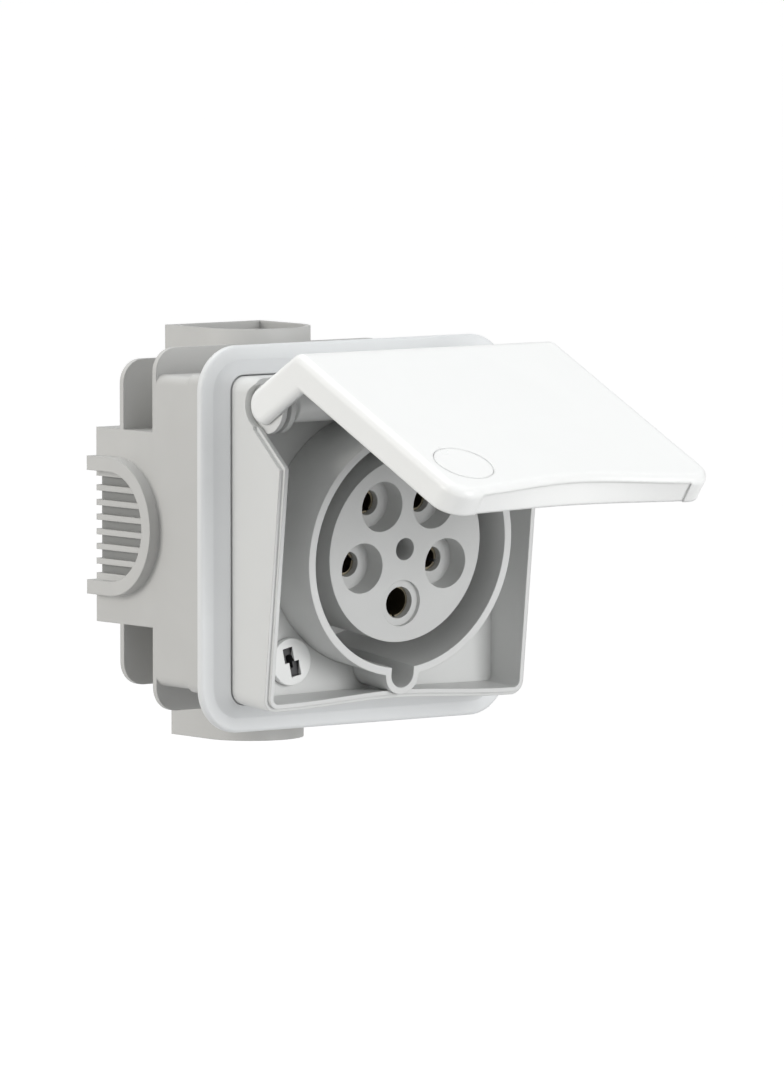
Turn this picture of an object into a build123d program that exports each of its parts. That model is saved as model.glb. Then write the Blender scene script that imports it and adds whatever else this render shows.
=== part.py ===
from build123d import *
from math import cos, radians, sin, sqrt
import os

os.makedirs("parts", exist_ok=True)

# Flush-mounted five-pole wall socket with sprung lid and back box, in millimetres.
# X runs to the right along the wall, Y into the wall and Z up. The origin is the centre
# of the cover frame on the wall's surface, so whatever stands in the room has negative Y.

# Driving dimensions of the cover frame
frame_border = 7.4
frame_corner = 11.5
frame_edge = 1.8
frame_ring = 3.6
frame_rise = 4.3
frame_seat = 2.0
foam_width = 3.0
foam_inset = 2.5

# Driving dimensions of the socket housing
side_room = 9.0
key_room = 1.2
hinge_room = 5.7
hinge_drop = 6.6
housing_wall = 2.0
housing_corner = 3.6
least_corner = 1.2
top_wall = 1.6
top_front_y = -13.0
floor_front = 7.0
floor_thick = 2.0
spigot_wall = 1.8
spigot_end = 9.0
lip_step = 1.0
lip_width = 0.9
mould_run_out = 10.0
bottom_flare = 2.2
bottom_wave = 3.0
flat_wave = 0.01

# Driving dimensions of the tilted sleeve, its keyway and the well behind it
sleeve_tilt = 6.25
sleeve_rim_y = -24.0
sleeve_bore = 59.0
sleeve_wall = 2.0
key_width = 6.9
key_stand = 4.7
key_wall = 1.7
well_depth = 38.0
well_floor = 3.2

# Driving dimensions of the hinge and the lid, in a side view with u along the lid and v out of it
hinge_y = -15.4
pin_diameter = 3.0
ear_radius = 7.0
ear_core = 5.0
ear_thick = 1.4
ear_space = 1.3
barrel_radius = 4.5
barrel_play = 3.0
barrel_bore_play = 0.15
barrel_opening = 16.0
arm_radius = 4.75
arm_thick = 1.9
leg_angle = 55.2
leg_shell = 1.6
rim_height = 11.1
lid_band = 7.6
lid_shell = 2.0
lid_lap = 0.6
lid_overhang = 2.0
lid_wave = 5.4
lid_grip_wave = 1.6
lid_hollow_wave = 2.6
lid_corner = 6.0
lid_back_round = 4.0
lid_edge_round = 2.2
apron_depth = 0.5
apron_margin = 1.9
apron_left = 9.0
apron_right = 7.5
lid_open = 71.0
seal_width = 4.4
marker_diameter = 15.0
marker_thick = 1.0
marker_side = 11.5
marker_front = 12.4
spring_wire = 1.0
spring_radius = 2.3
spring_turns = 5.5
spring_pitch = 1.6
relief_start = 5.0
relief_end = 25.0

# Driving dimensions of the insert and its contacts
plug_room = 6.1
carrier_recess = 2.4
carrier_tail = 2.8
clamp_reach = 5.2
carrier_round = 0.4
clamp_grip = 1.2
clamp_thick = 1.8
clamp_width = 14.0
pin_margin = 9.75
pole_mouth = 12.6
pole_mouth_depth = 6.0
pole_hole = 6.3
pole_bore = 5.0
earth_mouth = 11.6
earth_mouth_depth = 1.0
earth_hole = 8.0
earth_bore = 7.0
contact_wall = 1.2
contact_nose = 0.6
contact_slot = 0.8
contact_slot_length = 16.0
clip_wall = 0.6
clip_length = 3.0
web_thick = 2.5
centre_hole = 5.6
centre_hole_depth = 22.0
centre_head = 5.2
centre_head_length = 2.6
block_length = 10.0
block_inset = 1.9
block_lip = 1.5
terminal_wall = 3.1
wire_hole = 4.2
screw_size = 3.5
screw_length = 6.0
screw_slot = 0.8
clamp_screw = 2.5
clamp_screw_head = 4.6
clamp_screw_angle = 45.0

# Driving dimensions of the quarter-turn locks
lock_side = 9.4
lock_foot = 6.9
lock_high_side = 7.1
lock_high_top = 11.4
lock_head = 11.8
lock_head_thick = 1.6
lock_shaft = 6.0
lock_wing = 9.2
lock_wing_width = 4.0
lock_wing_thick = 3.0
lock_slot = 3.0
lock_slot_length = 7.5
lock_slot_step = 1.3
lock_slot_depth = 1.1
lock_slot_turn = 12.0
lock_socket = 3.6
lock_socket_depth = 5.0
lock_round = 0.3
lock_plate_y = 10.6
lock_plate_thick = 2.8
lock_boss = 9.6
lock_bracket = 12.4
lock_boss_end = 1.0
lock_seal_thick = 0.7

# Driving dimensions of the back box
box_side_inset = 4.0
box_end_inset = 1.6
box_wall = 1.6
box_lip = 0.7
box_lip_y = 19.6
box_step = 32.6
wiring_room = 28.0
box_corner = 2.4
rear_inset = 14.5
flange_thick = 1.6
flange_corner = 6.0
flange_front_reach = 6.5
flange_rear_reach = 2.0
flange_rear_shift = 1.0
flange_rear_depth = 11.6
tube_wall = 1.3
tube_depth = 16.2
tube_top_radius = 15.0
tube_top_reach = 10.4
tube_bottom_radius = 13.2
tube_bottom_reach = 15.5
collar_radius = 17.4
collar_rim = 3.6
collar_height = 3.0
collar_depth = 9.3
slot_bar = 1.5
slot_pitch = 3.7
slot_count = 7
slot_corner = 5.0

# Named clearances
slide_gap = 0.4
run_gap = 0.3
fit_gap = 0.1
hub_gap = 0.9
seal_thick = 0.6
reach = 60.0

# Sizes and places worked out from the driving dimensions, from the sleeve outward
sleeve_outer = sleeve_bore / 2 + sleeve_wall
key_reach = sleeve_outer + key_stand
carrier_diameter = sleeve_bore - 2 * plug_room
pin_circle = carrier_diameter - 2 * pin_margin
block_radius = carrier_diameter / 2 - block_inset
housing_width = 2 * (sleeve_outer + side_room)
housing_height = key_room + key_reach + sleeve_outer + hinge_room + hinge_drop
sleeve_rim_z = key_room + key_reach - housing_height / 2
hinge_z = housing_height / 2 - hinge_drop
frame_width = max(housing_width, housing_height) + 2 * frame_border
box_width = housing_width - 2 * box_side_inset
box_height = housing_height - 2 * box_end_inset
rear_height = box_height - 2 * rear_inset
box_depth = sleeve_rim_y + well_depth + well_floor + carrier_tail + block_length + wiring_room
lid_length = hinge_z + housing_height / 2 + bottom_flare + lid_lap
marker_x = marker_side - housing_width / 2
marker_u = lid_length - marker_front
tilt_sin = sin(radians(sleeve_tilt))
tilt_cos = cos(radians(sleeve_tilt))
leg_cos = cos(radians(leg_angle))
leg_sin = sin(radians(leg_angle))
rim_plane = Plane(origin=(0, sleeve_rim_y, sleeve_rim_z), x_dir=(1, 0, 0), z_dir=(0, -tilt_cos, -tilt_sin))
closed_side = Plane(origin=(0, hinge_y, hinge_z), x_dir=(0, tilt_sin, -tilt_cos), z_dir=(-1, 0, 0))
open_angle = radians(lid_open - sleeve_tilt)
open_along = (0, -sin(open_angle), -cos(open_angle))
open_side = Plane(origin=(0, hinge_y, hinge_z), x_dir=open_along, z_dir=(-1, 0, 0))
foot_y = -(frame_seat + seal_thick)
box_inner_x = box_width - 2 * box_wall
box_inner_z = box_height - 2 * box_wall
window_x = box_inner_x + slide_gap
window_z = box_inner_z + slide_gap
spigot_x = box_inner_x - 2 * slide_gap
spigot_z = box_inner_z - 2 * slide_gap
lock_places = {
    "lock_screw_left": (lock_side - box_inner_x / 2, lock_foot - box_inner_z / 2),
    "lock_screw_right": (box_inner_x / 2 - lock_high_side, box_inner_z / 2 - lock_high_top),
}
flange_front_height = box_height + 2 * flange_front_reach
flange_rear_height = box_height + 2 * flange_rear_reach
flange_rear_y = box_depth - flange_rear_depth
tube_centre_y = box_depth - tube_depth
tube_top_z = box_height / 2 + tube_top_reach
tube_bottom_z = -box_height / 2 - tube_bottom_reach
collar_centre_y = box_depth - collar_depth
ear_outer_x = housing_width / 2 - arm_thick - run_gap
ear_inner_x = ear_outer_x - 2 * ear_thick - ear_space
barrel_end_x = ear_inner_x - barrel_play
lid_low = rim_height + run_gap
lid_top = lid_low + lid_band
flange_face = well_depth + well_floor
block_front = flange_face + carrier_tail
block_rear = block_front + block_length
foam_outer = frame_width - 2 * foam_inset
foam_inner = foam_outer - 2 * foam_width


def at_depth(depth):
    """Plane parallel to the wall at this Y, facing the room."""
    return Plane.XZ.offset(-depth)


def in_well(depth):
    """Plane square to the tilted sleeve, this far behind its rim."""
    return rim_plane.offset(-depth)


def lid_level(height):
    """Plane parallel to the open lid's face, this far out from the hinge axis, with Y up the lid."""
    return Plane(origin=open_side.from_local_coords((0, height, 0)), x_dir=(1, 0, 0), z_dir=open_side.y_dir)


def hinge_slice(x):
    """Side plane at this X with its origin on the hinge axis."""
    return Plane(origin=(x, hinge_y, hinge_z), x_dir=(0, 1, 0), z_dir=(1, 0, 0))


def side_slice(x):
    """Side plane at this X, with Y and Z as they are."""
    return Plane(origin=(x, 0, 0), x_dir=(0, 1, 0), z_dir=(1, 0, 0))


def corner_arc(start, corner, end):
    """Quarter round that joins two lines meeting at a square corner."""
    centre = Vector(*start) + Vector(*end) - Vector(*corner)
    middle = centre + (Vector(*corner) - centre) / sqrt(2)
    return ThreePointArc(start, middle, end)


def wavy_panel(plane, half_width, top, bottom, corner, wave):
    """Panel with round corners, whose lower edge rises in a wave at its middle."""
    left = -half_width
    right = half_width
    with BuildSketch(plane) as panel:
        with BuildLine():
            Line((left + corner, top), (right - corner, top))
            corner_arc((right - corner, top), (right, top), (right, top - corner))
            Line((right, top - corner), (right, bottom + corner))
            corner_arc((right, bottom + corner), (right, bottom), (right - corner, bottom))
            Spline(
                (right - corner, bottom),
                (0, bottom + wave),
                (left + corner, bottom),
                tangents=((-1, 0), (-1, 0)),
            )
            corner_arc((left + corner, bottom), (left, bottom), (left, bottom + corner))
            Line((left, bottom + corner), (left, top - corner))
            corner_arc((left, top - corner), (left, top), (left + corner, top))
        make_face()
    return panel.sketch


def housing_skin(side_inset, top_inset, bottom_inset):
    """Tapered block of the surround's outer form, inset from it on each side."""
    corner = max(housing_corner - side_inset, least_corner)
    top = housing_height / 2 - top_inset
    bottom = -housing_height / 2 + bottom_inset
    far_y = sleeve_rim_y - mould_run_out
    with BuildPart() as skin:
        rear = wavy_panel(at_depth(foot_y), housing_width / 2 - side_inset, top, bottom, corner, flat_wave)
        front = wavy_panel(
            at_depth(far_y), housing_width / 2 - side_inset, top, bottom - bottom_flare, corner, bottom_wave
        )
        loft(rear.faces() + front.faces())
    return skin.part


def rim_profile(set_back):
    """Side outline of all that lies behind the surround's rim, in the closed lid's plane."""
    height = rim_height - set_back
    offset = arm_radius + run_gap + set_back
    corner = Vector((offset + height * leg_cos) / leg_sin, height)
    corner_place = closed_side.from_local_coords(corner)
    back = closed_side.from_local_coords(corner - Vector(leg_cos, leg_sin)) - corner_place
    run = (top_front_y - corner_place.Y) / back.Y
    diagonal_end = corner - Vector(leg_cos, leg_sin) * run
    top_point = closed_side.to_local_coords(Vector(0, top_front_y, reach))
    with BuildSketch(closed_side) as profile:
        with BuildLine():
            Polyline(
                (2 * reach, height),
                corner,
                diagonal_end,
                (top_point.X, top_point.Y),
                (top_point.X, -reach),
                (2 * reach, -reach),
                close=True,
            )
        make_face()
    return profile.sketch


def sleeve_outline(plane, radius, slot_radius):
    """Circle of the sleeve with its round-ended keyway at six o'clock."""
    slot_end = key_reach - key_wall - key_width / 2
    with BuildSketch(plane) as outline:
        Circle(radius)
        with Locations((0, -slot_end / 2)):
            Rectangle(2 * slot_radius, slot_end)
        with Locations((0, -slot_end)):
            Circle(slot_radius)
    return outline.sketch


def tube_outline(plane, radius):
    """Plan of a conduit entry: round towards the room, straight-sided to the rear wall."""
    with BuildSketch(plane) as outline:
        with Locations((0, tube_centre_y)):
            Circle(radius)
        with Locations((0, (tube_centre_y + box_depth) / 2)):
            Rectangle(2 * radius, box_depth - tube_centre_y)
    return outline.sketch


def collar_outline(plane, radius):
    """Side view of a side entry: round towards the room, straight-sided to the rear wall."""
    with BuildSketch(plane) as outline:
        with Locations((collar_centre_y, 0)):
            Circle(radius)
        with Locations(((collar_centre_y + box_depth) / 2, 0)):
            Rectangle(box_depth - collar_centre_y, 2 * radius)
        with Locations((box_depth + radius, 0)):
            Rectangle(2 * radius, 3 * radius, mode=Mode.SUBTRACT)
    return outline.sketch


def hinge_arm(offset, along):
    """Point in the lid's side view, this far inside the line from hinge to corner and this far along it."""
    return (along * leg_cos + offset * leg_sin, along * leg_sin - offset * leg_cos)


def leg_at_height(offset, height):
    """Point where a line parallel to the lid's short leg reaches this height."""
    return ((offset + height * leg_cos) / leg_sin, height)


def radial_plane(angle, depth, radius):
    """Plane in the insert that faces outward at this angle, depth and radius."""
    well = in_well(depth)
    outward = well.x_dir * cos(radians(angle)) + well.y_dir * sin(radians(angle))
    return Plane(origin=well.origin + outward * radius, x_dir=well.z_dir, z_dir=outward)


# Poles of the insert: earth stands at six o'clock, the others follow anticlockwise seen from the room
pole_names = ["contact_earth", "contact_n", "contact_l3", "contact_l2", "contact_l1"]
pole_angles = [-90 + 72 * step for step in range(len(pole_names))]
pole_places = [
    (pin_circle / 2 * cos(radians(angle)), pin_circle / 2 * sin(radians(angle))) for angle in pole_angles
]
line_tube = pole_bore / 2 + contact_wall
earth_tube = earth_bore / 2 + contact_wall
line_chamber = carrier_recess + pole_mouth_depth + web_thick
earth_chamber = carrier_recess + earth_mouth_depth + web_thick
terminal_radius = wire_hole / 2 + terminal_wall
screw_depth = block_front + (block_length - block_lip) / 2
clamp_screw_radius = carrier_diameter / 2 + clamp_reach / 2
clamp_screw_places = [
    (clamp_screw_radius * cos(radians(angle)), clamp_screw_radius * sin(radians(angle)))
    for angle in (clamp_screw_angle, clamp_screw_angle + 180)
]

# Cover frame: square moulded ring with a thin edge and a slope that rises to the housing
with BuildPart() as cover_frame:
    crest_width = housing_width + 2 * slide_gap
    slope_width = frame_width - 2 * frame_ring
    with BuildSketch(at_depth(0)):
        RectangleRounded(frame_width, frame_width, frame_corner)
    extrude(amount=frame_edge)
    fillet(cover_frame.faces().sort_by(Axis.Y)[0].edges(), frame_edge / 2)
    with BuildSketch(at_depth(-frame_edge)):
        RectangleRounded(slope_width, slope_width, frame_corner - frame_ring)
    with BuildSketch(at_depth(-frame_rise)):
        RectangleRounded(crest_width + slide_gap, crest_width + slide_gap, housing_corner + 1.5 * slide_gap)
    loft()
    with BuildSketch(at_depth(-frame_seat)):
        RectangleRounded(crest_width, crest_width, housing_corner + slide_gap)
    extrude(amount=frame_rise, mode=Mode.SUBTRACT)
    with BuildSketch(at_depth(0)):
        RectangleRounded(window_x, window_z, box_corner)
    extrude(amount=frame_seat, mode=Mode.SUBTRACT)
    with BuildSketch(at_depth(0)):
        RectangleRounded(foam_outer, foam_outer, frame_corner - foam_inset)
        RectangleRounded(foam_inner, foam_inner, frame_corner - foam_inset - foam_width, mode=Mode.SUBTRACT)
    extrude(amount=frame_edge / 2, mode=Mode.SUBTRACT)
cover_frame.part.label = "cover_frame"
export_step(cover_frame.part, "parts/cover_frame.step")

# Wall seal: flat foam ring in the frame's rear groove
with BuildPart() as wall_seal:
    with BuildSketch(at_depth(0)):
        RectangleRounded(foam_outer, foam_outer, frame_corner - foam_inset)
        RectangleRounded(foam_inner, foam_inner, frame_corner - foam_inset - foam_width, mode=Mode.SUBTRACT)
    extrude(amount=frame_edge / 2)
wall_seal.part.label = "wall_seal"
export_step(wall_seal.part, "parts/wall_seal.step")

# Housing seal: rubber gasket between the frame's seat and the foot of the surround
with BuildPart() as housing_seal:
    with BuildSketch(at_depth(-frame_seat)):
        RectangleRounded(housing_width, housing_width, housing_corner)
        RectangleRounded(window_x, window_z, box_corner, mode=Mode.SUBTRACT)
    extrude(amount=seal_thick)
housing_seal.part.label = "housing_seal"
export_step(housing_seal.part, "parts/housing_seal.step")

# Socket housing: surround, floor with the hole for the sleeve, locating spigot and hinge ears
outer_skin = housing_skin(0, 0, 0)
lip_skin = housing_skin(lip_width, lip_width, lip_width)
pocket = housing_skin(housing_wall, top_wall, housing_wall)
with BuildPart() as lip:
    add(lip_skin)
    extrude(rim_profile(0), amount=reach, both=True, mode=Mode.INTERSECT)
with BuildPart() as room_pocket:
    add(pocket)
    split(bisect_by=at_depth(-floor_front), keep=Keep.TOP)
with BuildPart() as socket_housing:
    add(outer_skin)
    extrude(rim_profile(lip_step), amount=reach, both=True, mode=Mode.INTERSECT)
    add(lip.part)
    add(room_pocket.part, mode=Mode.SUBTRACT)
    with BuildSketch(at_depth(foot_y)):
        Rectangle(housing_width - 2 * housing_wall, housing_height - 2 * housing_wall)
    extrude(amount=floor_front - floor_thick + foot_y, mode=Mode.SUBTRACT)
    with BuildSketch(at_depth(floor_thick - floor_front)):
        RectangleRounded(spigot_x, spigot_z, box_corner)
        RectangleRounded(spigot_x - 2 * spigot_wall, spigot_z - 2 * spigot_wall, 1, mode=Mode.SUBTRACT)
    extrude(amount=-(spigot_end + floor_front - floor_thick))
    for side in (-1, 1):
        with BuildSketch(hinge_slice(side * ear_outer_x)):
            Circle(arm_radius + hub_gap)
        extrude(amount=side * housing_width, mode=Mode.SUBTRACT)
        boss_length = 2 * ear_thick + ear_space
        ear_root = -floor_front - hinge_y + floor_thick / 2
        with BuildSketch(hinge_slice(side * ear_outer_x)):
            Circle(ear_radius)
            with Locations((ear_root / 2, 0)):
                Rectangle(ear_root, 2 * ear_radius)
            with Locations((0, housing_height / 2 - top_wall - hinge_z + ear_radius)):
                Rectangle(4 * ear_radius, 2 * ear_radius, mode=Mode.SUBTRACT)
        extrude(amount=-side * boss_length)
        with BuildSketch(hinge_slice(side * (ear_outer_x - ear_thick))):
            Circle(2 * ear_radius)
            Circle(ear_core, mode=Mode.SUBTRACT)
            with Locations((2 * ear_radius, 0)):
                Rectangle(2 * ear_radius + 2 * ear_core, 4 * ear_radius, mode=Mode.SUBTRACT)
        extrude(amount=-side * ear_space, mode=Mode.SUBTRACT)
    extrude(
        sleeve_outline(rim_plane, sleeve_outer + fit_gap / 2, key_width / 2 + key_wall + fit_gap / 2),
        amount=-flange_face,
        mode=Mode.SUBTRACT,
    )
    with BuildSketch(at_depth(lock_boss_end)):
        with Locations(*lock_places.values()):
            Circle(lock_boss / 2)
    extrude(amount=floor_front + lock_boss_end - floor_thick / 2)
    with BuildSketch(at_depth(-floor_front)):
        with Locations(*lock_places.values()):
            Circle(lock_shaft / 2 + 4 * slide_gap)
    extrude(amount=-(lock_seal_thick + run_gap), mode=Mode.SUBTRACT)
    with BuildSketch(at_depth(-floor_front)):
        with Locations(*lock_places.values()):
            Circle(lock_shaft / 2 + run_gap)
    extrude(amount=-2 * floor_front, mode=Mode.SUBTRACT)
    with BuildSketch(hinge_slice(-ear_outer_x)):
        Circle(pin_diameter / 2 + fit_gap / 2)
    extrude(amount=2 * ear_outer_x, mode=Mode.SUBTRACT)
socket_housing.part.label = "socket_housing"
export_step(socket_housing.part, "parts/socket_housing.step")

# Plug sleeve: tilted keyed tube welded into the hole in the housing's floor, with the floor of its well
with BuildPart() as plug_sleeve:
    extrude(sleeve_outline(rim_plane, sleeve_outer, key_width / 2 + key_wall), amount=-flange_face)
    extrude(
        sleeve_outline(rim_plane, sleeve_bore / 2, key_width / 2), amount=-well_depth, mode=Mode.SUBTRACT
    )
    with BuildSketch(in_well(flange_face)):
        Circle(carrier_diameter / 2 + run_gap)
    extrude(amount=flange_face, mode=Mode.SUBTRACT)
    with BuildSketch(in_well(flange_face)):
        with Locations(*clamp_screw_places):
            Circle(clamp_screw / 2 + fit_gap / 2)
    extrude(amount=well_floor / 2 + fit_gap, mode=Mode.SUBTRACT)
    relief = leg_shell + run_gap - arm_radius
    with BuildSketch(closed_side):
        with BuildLine():
            Polyline(
                hinge_arm(relief, relief_start),
                hinge_arm(relief, relief_end),
                hinge_arm(-reach, relief_end),
                hinge_arm(-reach, relief_start),
                close=True,
            )
        make_face()
    extrude(amount=sleeve_bore / 4, both=True, mode=Mode.SUBTRACT)
plug_sleeve.part.label = "plug_sleeve"
export_step(plug_sleeve.part, "parts/plug_sleeve.step")

# Contact carrier: round insulating insert with four deep line mouths, the earth hole, a centre hole
# and a groove round its rear end
with BuildPart() as contact_carrier:
    with BuildSketch(in_well(carrier_recess)):
        Circle(carrier_diameter / 2)
    extrude(amount=carrier_recess - block_front)
    fillet(contact_carrier.edges().filter_by(GeomType.CIRCLE).group_by(SortBy.DISTANCE)[0], carrier_round)
    with BuildSketch(in_well(flange_face - fit_gap)):
        Circle(carrier_diameter)
        Circle(carrier_diameter / 2 - clamp_grip, mode=Mode.SUBTRACT)
    extrude(amount=-(clamp_thick + 2 * fit_gap), mode=Mode.SUBTRACT)
    with BuildSketch(in_well(carrier_recess)):
        with Locations(*pole_places[1:]):
            Circle(pole_mouth / 2)
    extrude(amount=-pole_mouth_depth, mode=Mode.SUBTRACT)
    with BuildSketch(in_well(carrier_recess)):
        with Locations(*pole_places[1:]):
            Circle(pole_hole / 2)
    extrude(amount=carrier_recess - block_front, mode=Mode.SUBTRACT)
    with BuildSketch(in_well(carrier_recess)):
        with Locations(pole_places[0]):
            Circle(earth_mouth / 2)
    extrude(amount=-earth_mouth_depth, mode=Mode.SUBTRACT)
    with BuildSketch(in_well(carrier_recess)):
        with Locations(pole_places[0]):
            Circle(earth_hole / 2)
    extrude(amount=carrier_recess - block_front, mode=Mode.SUBTRACT)
    with BuildSketch(in_well(block_front)):
        with Locations(*pole_places[1:]):
            Circle(line_tube + clip_wall + run_gap)
    extrude(amount=block_front - line_chamber, mode=Mode.SUBTRACT)
    with BuildSketch(in_well(block_front)):
        with Locations(pole_places[0]):
            Circle(earth_tube + clip_wall + run_gap)
    extrude(amount=block_front - earth_chamber, mode=Mode.SUBTRACT)
    with BuildSketch(in_well(carrier_recess)):
        Circle(centre_hole / 2)
    extrude(amount=-centre_hole_depth, mode=Mode.SUBTRACT)
    with BuildSketch(in_well(carrier_recess)):
        Circle(screw_size / 2 + fit_gap)
    extrude(amount=carrier_recess - block_front, mode=Mode.SUBTRACT)
contact_carrier.part.label = "contact_carrier"
export_step(contact_carrier.part, "parts/contact_carrier.step")

# Carrier clamps: two plates behind the floor of the well that grip the carrier's groove
with BuildPart() as carrier_clamps:
    with BuildSketch(in_well(flange_face)):
        Circle(carrier_diameter / 2 + clamp_reach)
        with Locations(Location((0, 0), clamp_screw_angle)):
            Rectangle(2 * carrier_diameter, clamp_width, mode=Mode.INTERSECT)
        Circle(carrier_diameter / 2 - clamp_grip + fit_gap, mode=Mode.SUBTRACT)
        with Locations(*clamp_screw_places):
            Circle(clamp_screw / 2 + fit_gap, mode=Mode.SUBTRACT)
    extrude(amount=-clamp_thick)
carrier_clamps.part.label = "carrier_clamps"
export_step(carrier_clamps.part, "parts/carrier_clamps.step")

# Terminal block: rear half of the insert, holds the five terminals and their clamping screws
with BuildPart() as terminal_block:
    with BuildSketch(in_well(block_front)):
        Circle(block_radius)
    extrude(amount=-block_length)
    with BuildSketch(in_well(block_front)):
        with Locations(*pole_places):
            Circle(terminal_radius + fit_gap)
    extrude(amount=block_lip - block_length, mode=Mode.SUBTRACT)
    with BuildSketch(in_well(block_front)):
        with Locations(*pole_places):
            Circle(wire_hole / 2 + run_gap)
        Circle(screw_size / 2 + fit_gap)
    extrude(amount=-block_length, mode=Mode.SUBTRACT)
    for angle in pole_angles:
        with BuildSketch(radial_plane(angle, screw_depth, pin_circle / 2)):
            Circle(screw_size / 2 + 2 * run_gap)
        extrude(amount=block_radius, mode=Mode.SUBTRACT)
terminal_block.part.label = "terminal_block"
export_step(terminal_block.part, "parts/terminal_block.step")


def pole_contact(angle, place, bore, guide, chamber):
    """Turned contact: slotted sleeve with a nose in the insert's hole, and terminal barrel with its screw hole."""
    front = chamber + run_gap
    nose = chamber - contact_nose
    tube = bore / 2 + contact_wall
    with BuildPart() as contact:
        with BuildSketch(in_well(front)):
            with Locations(place):
                Circle(tube)
        extrude(amount=front - block_front)
        with BuildSketch(in_well(nose)):
            with Locations(place):
                Circle(guide / 2 - fit_gap)
        extrude(amount=nose - front)
        with BuildSketch(in_well(block_front)):
            with Locations(place):
                Circle(terminal_radius)
        extrude(amount=block_lip - block_length)
        with BuildSketch(in_well(nose)):
            with Locations(place):
                Circle(bore / 2)
        extrude(amount=nose - block_front + contact_wall, mode=Mode.SUBTRACT)
        with BuildSketch(in_well(block_rear)):
            with Locations(place):
                Circle(wire_hole / 2)
        extrude(amount=block_length - contact_wall, mode=Mode.SUBTRACT)
        with BuildSketch(in_well(nose)):
            with Locations(Location(place, angle)):
                Rectangle(4 * tube, contact_slot)
        extrude(amount=-contact_slot_length, mode=Mode.SUBTRACT)
        with BuildSketch(radial_plane(angle, screw_depth, pin_circle / 2)):
            Circle(screw_size / 2)
        extrude(amount=2 * terminal_radius, mode=Mode.SUBTRACT)
    return contact.part


# Five contacts: the wider earth contact reaches further forward, so it meets its pin first
for name, angle, place in zip(pole_names, pole_angles, pole_places):
    if name == "contact_earth":
        contact = pole_contact(angle, place, earth_bore, earth_hole, earth_chamber)
    else:
        contact = pole_contact(angle, place, pole_bore, pole_hole, line_chamber)
    contact.label = name
    export_step(contact, f"parts/{name}.step")

# Contact springs: split steel rings that close the slotted ends of the contacts on the pins
with BuildPart() as contact_springs:
    for angle, place in zip(pole_angles, pole_places):
        earth = place == pole_places[0]
        tube = earth_tube if earth else line_tube
        front = (earth_chamber if earth else line_chamber) + 2 * contact_wall
        with BuildSketch(in_well(front)):
            with Locations(Location(place, angle)):
                Circle(tube + clip_wall)
                Circle(tube + fit_gap / 2, mode=Mode.SUBTRACT)
                with Locations((-tube, 0)):
                    Rectangle(2 * tube, 2 * contact_slot, mode=Mode.SUBTRACT)
        extrude(amount=-clip_length)
contact_springs.part.label = "contact_springs"
export_step(contact_springs.part, "parts/contact_springs.step")

# Terminal screws: slotted clamping screws, one in the side of each terminal
with BuildPart() as terminal_screws:
    tip = pin_circle / 2 + wire_hole / 4
    for angle in pole_angles:
        with BuildSketch(radial_plane(angle, screw_depth, tip)):
            Circle(screw_size / 2 - fit_gap / 2)
        extrude(amount=screw_length)
        with BuildSketch(radial_plane(angle, screw_depth, tip + screw_length)):
            Rectangle(2 * screw_size, screw_slot)
        extrude(amount=-screw_slot, mode=Mode.SUBTRACT)
terminal_screws.part.label = "terminal_screws"
export_step(terminal_screws.part, "parts/terminal_screws.step")

# Centre screw: pulls the terminal block against the carrier, its head sits deep in the centre hole
head_seat = carrier_recess + centre_hole_depth
with BuildPart() as centre_screw:
    with BuildSketch(in_well(head_seat)):
        Circle(centre_head / 2)
    extrude(amount=centre_head_length)
    with BuildSketch(in_well(head_seat)):
        Circle(screw_size / 2)
    extrude(amount=head_seat - block_rear)
    with BuildSketch(in_well(head_seat - centre_head_length)):
        Rectangle(centre_head * 2, screw_slot)
    extrude(amount=-screw_slot, mode=Mode.SUBTRACT)
centre_screw.part.label = "centre_screw"
export_step(centre_screw.part, "parts/centre_screw.step")

# Carrier screws: two pan-head screws that hold the clamps to the floor of the well
with BuildPart() as carrier_screws:
    with BuildSketch(in_well(flange_face + clamp_thick)):
        with Locations(*clamp_screw_places):
            Circle(clamp_screw_head / 2)
    extrude(amount=-clamp_screw_head / 3)
    with BuildSketch(in_well(flange_face + clamp_thick)):
        with Locations(*clamp_screw_places):
            Circle(clamp_screw / 2)
    extrude(amount=clamp_thick + well_floor / 2)
carrier_screws.part.label = "carrier_screws"
export_step(carrier_screws.part, "parts/carrier_screws.step")

# Hinge pin: steel rod through both pairs of ears and the lid's barrels
with BuildPart() as hinge_pin:
    with BuildSketch(hinge_slice(fit_gap - ear_outer_x)):
        Circle(pin_diameter / 2)
    extrude(amount=2 * (ear_outer_x - fit_gap))
hinge_pin.part.label = "hinge_pin"
export_step(hinge_pin.part, "parts/hinge_pin.step")

# Hinge spring: coil of spring wire round the pin, with one leg that rests on the housing's floor
coil_length = spring_pitch * spring_turns
with BuildPart() as hinge_spring:
    coil = Helix(
        pitch=spring_pitch,
        height=coil_length,
        radius=spring_radius,
        center=(-coil_length / 2, hinge_y, hinge_z),
        direction=(1, 0, 0),
    )
    leg_length = (-floor_front - fit_gap - hinge_y) / (coil % 1).Y
    leg = Line(coil @ 1, (coil @ 1) + (coil % 1) * leg_length)
    with BuildSketch(Plane(origin=coil @ 0, z_dir=coil % 0)):
        Circle(spring_wire / 2)
    sweep(path=Wire([coil.edge(), leg.edge()]))
hinge_spring.part.label = "hinge_spring"
export_step(hinge_spring.part, "parts/hinge_spring.step")

# Lock seals: rubber washers round the lock shafts, let into the housing's floor
with BuildPart() as lock_seals:
    with BuildSketch(at_depth(lock_seal_thick + run_gap - floor_front)):
        with Locations(*lock_places.values()):
            Circle(lock_shaft / 2 + 4 * slide_gap)
            Circle(lock_shaft / 2 + run_gap, mode=Mode.SUBTRACT)
    extrude(amount=lock_seal_thick)
lock_seals.part.label = "lock_seals"
export_step(lock_seals.part, "parts/lock_seals.step")


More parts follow.
